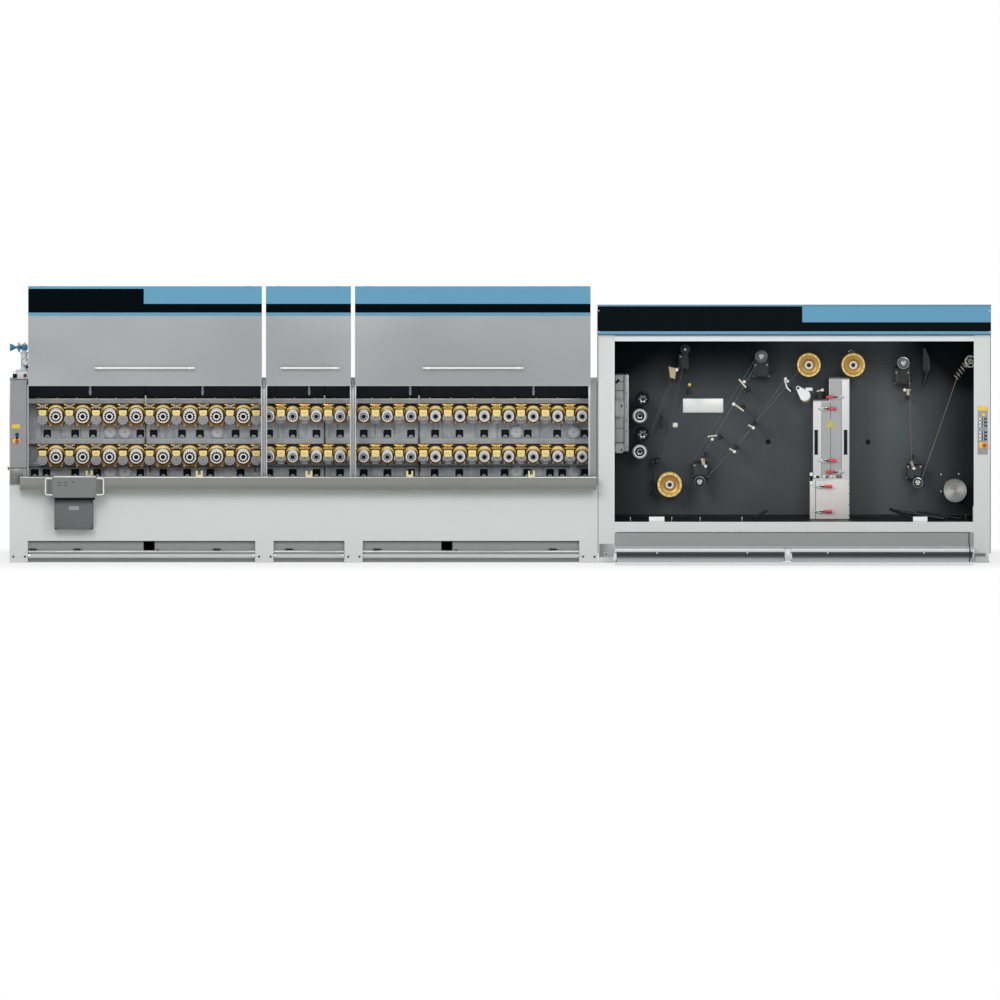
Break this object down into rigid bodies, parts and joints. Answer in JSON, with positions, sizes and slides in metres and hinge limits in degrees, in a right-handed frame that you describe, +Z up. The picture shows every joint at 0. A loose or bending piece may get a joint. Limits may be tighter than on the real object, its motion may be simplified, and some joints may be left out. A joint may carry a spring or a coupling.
{
  "type": "multiwire drawing machine with resistance annealer",
  "caption": "Wire drawing machine with rows of capstans and dies behind lifting doors, and an open annealer with contact wheels, guide sheaves and a low step.",
  "frame": {"origin": "middle of the footprint of the whole line, on the floor", "axes": "+X along the line from the drawing machine to the annealer, -Y out of the front, +Z up"},
  "size_m": [8.85, 1.852, 2.498],
  "materials": {
    "light_grey_paint": "satin light grey powder coat",
    "mid_grey_paint": "matt mid grey paint",
    "black_paint": "matt black paint",
    "dark_grey_paint": "satin dark grey paint",
    "stainless": "brushed stainless sheet",
    "door_steel": "brushed stainless sheet with a blue and black band",
    "handle_white": "smooth off-white coating",
    "white_plastic": "white wear strip",
    "cast_metal": "grey painted casting",
    "dark_panel": "dark bluish grey paint",
    "gold": "gold-coloured bronze, turned",
    "yellow_gold": "yellow brass",
    "white_ceramic": "off-white ceramic",
    "yellow_plastic": "yellow plastic",
    "blue_valve": "teal blue enamel",
    "pale_pipe": "pale grey coating",
    "black_plastic": "black plastic",
    "black_blue_paint": "black gloss paint with blue bands",
    "white_paint": "white powder coat",
    "step_steel": "zinc-coated sheet",
    "black_metal": "black oxide",
    "column_steel": "brushed steel sheet",
    "clamp_steel": "plated steel with red grips",
    "entry_grey": "grey paint",
    "guide_white": "off-white ceramic on black arms",
    "drum_steel": "turned steel",
    "sheave_grey": "anodised grey",
    "roller_steel": "turned steel with a white hub"
  },
  "bodies": {
    "root": {"annealer_back_panel": "dark_panel", "annealer_base": "light_grey_paint", "annealer_header": "black_blue_paint", "annealer_rear_housing": "light_grey_paint", "annealer_roof": "light_grey_paint", "annealer_uprights": "light_grey_paint", "annealing_column": "column_steel", "base_feet": "light_grey_paint", "capstan_guards": "gold", "capstan_rings": "white_ceramic", "chamber_back_panels": "dark_panel", "chamber_roof": "stainless", "control_buttons": "black_plastic", "die_holders": "yellow_gold", "door_guides": "stainless", "door_posts": "stainless", "drawing_base": "light_grey_paint", "drive_housing": "light_grey_paint", "entry_unit": "entry_grey", "fork_clips": "yellow_plastic", "forklift_pockets": "black_paint", "gear_cases": "cast_metal", "guide_strips": "white_plastic", "junction_box": "dark_grey_paint", "liquid_pipe": "pale_pipe", "operator_console": "stainless", "rear_covers": "light_grey_paint", "sheave_brackets": "black_metal", "shutter_bar": "white_paint", "sill_tray": "stainless", "skirting": "mid_grey_paint", "spindles": "black_metal", "spray_nozzles": "stainless", "step_frame": "step_steel", "step_tread": "step_steel", "toggle_clamps": "clamp_steel", "water_valve": "blue_valve", "wire_guides": "guide_white"},
    "door_1": {"door_1": "door_steel", "door_handle_1": "handle_white"},
    "door_2": {"door_2": "door_steel", "door_handle_2": "handle_white"},
    "door_3": {"door_3": "door_steel", "door_handle_3": "handle_white"},
    "contact_wheel_1": {"contact_wheel_1": "gold"},
    "contact_wheel_2": {"contact_wheel_2": "gold"},
    "contact_wheel_3": {"contact_wheel_3": "gold"},
    "outlet_drum": {"outlet_drum": "drum_steel"},
    "spoked_wheel": {"spoked_wheel": "sheave_grey"},
    "guide_sheave_1": {"guide_sheave_1": "sheave_grey"},
    "guide_sheave_2": {"guide_sheave_2": "sheave_grey"},
    "guide_sheave_3": {"guide_sheave_3": "sheave_grey"},
    "guide_sheave_4": {"guide_sheave_4": "sheave_grey"},
    "guide_sheave_5": {"guide_sheave_5": "sheave_grey"},
    "inlet_roller_1": {"inlet_roller_1": "roller_steel"},
    "inlet_roller_2": {"inlet_roller_2": "roller_steel"},
    "inlet_roller_3": {"inlet_roller_3": "roller_steel"},
    "inlet_roller_4": {"inlet_roller_4": "roller_steel"}
  },
  "joints": [
    {"name": "door_1_lift", "type": "slide", "parent": "root", "child": "door_1", "axis": [0, 0, 1], "range_m": [-0.81, 0]},
    {"name": "door_2_lift", "type": "slide", "parent": "root", "child": "door_2", "axis": [0, 0, 1], "range_m": [-0.81, 0]},
    {"name": "door_3_lift", "type": "slide", "parent": "root", "child": "door_3", "axis": [0, 0, 1], "range_m": [-0.81, 0]},
    {"name": "contact_wheel_1_spin", "type": "hinge", "parent": "root", "child": "contact_wheel_1", "pos_m": [2.79094, -0.076, 1.754], "axis": [0, 1, 0], "continuous": true},
    {"name": "contact_wheel_2_spin", "type": "hinge", "parent": "root", "child": "contact_wheel_2", "pos_m": [3.19096, -0.076, 1.754], "axis": [0, 1, 0], "continuous": true},
    {"name": "contact_wheel_3_spin", "type": "hinge", "parent": "root", "child": "contact_wheel_3", "pos_m": [1.53707, -0.076, 0.672], "axis": [0, 1, 0], "continuous": true},
    {"name": "outlet_drum_spin", "type": "hinge", "parent": "root", "child": "outlet_drum", "pos_m": [4.111, -0.076, 0.617], "axis": [0, 1, 0], "continuous": true},
    {"name": "spoked_wheel_spin", "type": "hinge", "parent": "root", "child": "spoked_wheel", "pos_m": [4.24906, -0.116, 1.786], "axis": [0, 1, 0], "continuous": true},
    {"name": "guide_sheave_1_spin", "type": "hinge", "parent": "root", "child": "guide_sheave_1", "pos_m": [1.67584, -0.116, 1.895], "axis": [0, 1, 0], "continuous": true},
    {"name": "guide_sheave_2_spin", "type": "hinge", "parent": "root", "child": "guide_sheave_2", "pos_m": [2.36189, -0.116, 1.832], "axis": [0, 1, 0], "continuous": true},
    {"name": "guide_sheave_3_spin", "type": "hinge", "parent": "root", "child": "guide_sheave_3", "pos_m": [3.64301, -0.116, 1.773], "axis": [0, 1, 0], "continuous": true},
    {"name": "guide_sheave_4_spin", "type": "hinge", "parent": "root", "child": "guide_sheave_4", "pos_m": [1.80717, -0.116, 0.7], "axis": [0, 1, 0], "continuous": true},
    {"name": "guide_sheave_5_spin", "type": "hinge", "parent": "root", "child": "guide_sheave_5", "pos_m": [3.77293, -0.116, 0.693], "axis": [0, 1, 0], "continuous": true},
    {"name": "inlet_roller_1_spin", "type": "hinge", "parent": "root", "child": "inlet_roller_1", "pos_m": [1.29493, -0.081, 1.445], "axis": [0, 1, 0], "continuous": true},
    {"name": "inlet_roller_2_spin", "type": "hinge", "parent": "root", "child": "inlet_roller_2", "pos_m": [1.26803, -0.081, 1.296], "axis": [0, 1, 0], "continuous": true},
    {"name": "inlet_roller_3_spin", "type": "hinge", "parent": "root", "child": "inlet_roller_3", "pos_m": [1.29387, -0.081, 1.125], "axis": [0, 1, 0], "continuous": true},
    {"name": "inlet_roller_4_spin", "type": "hinge", "parent": "root", "child": "inlet_roller_4", "pos_m": [1.26803, -0.081, 0.972], "axis": [0, 1, 0], "continuous": true}
  ]
}
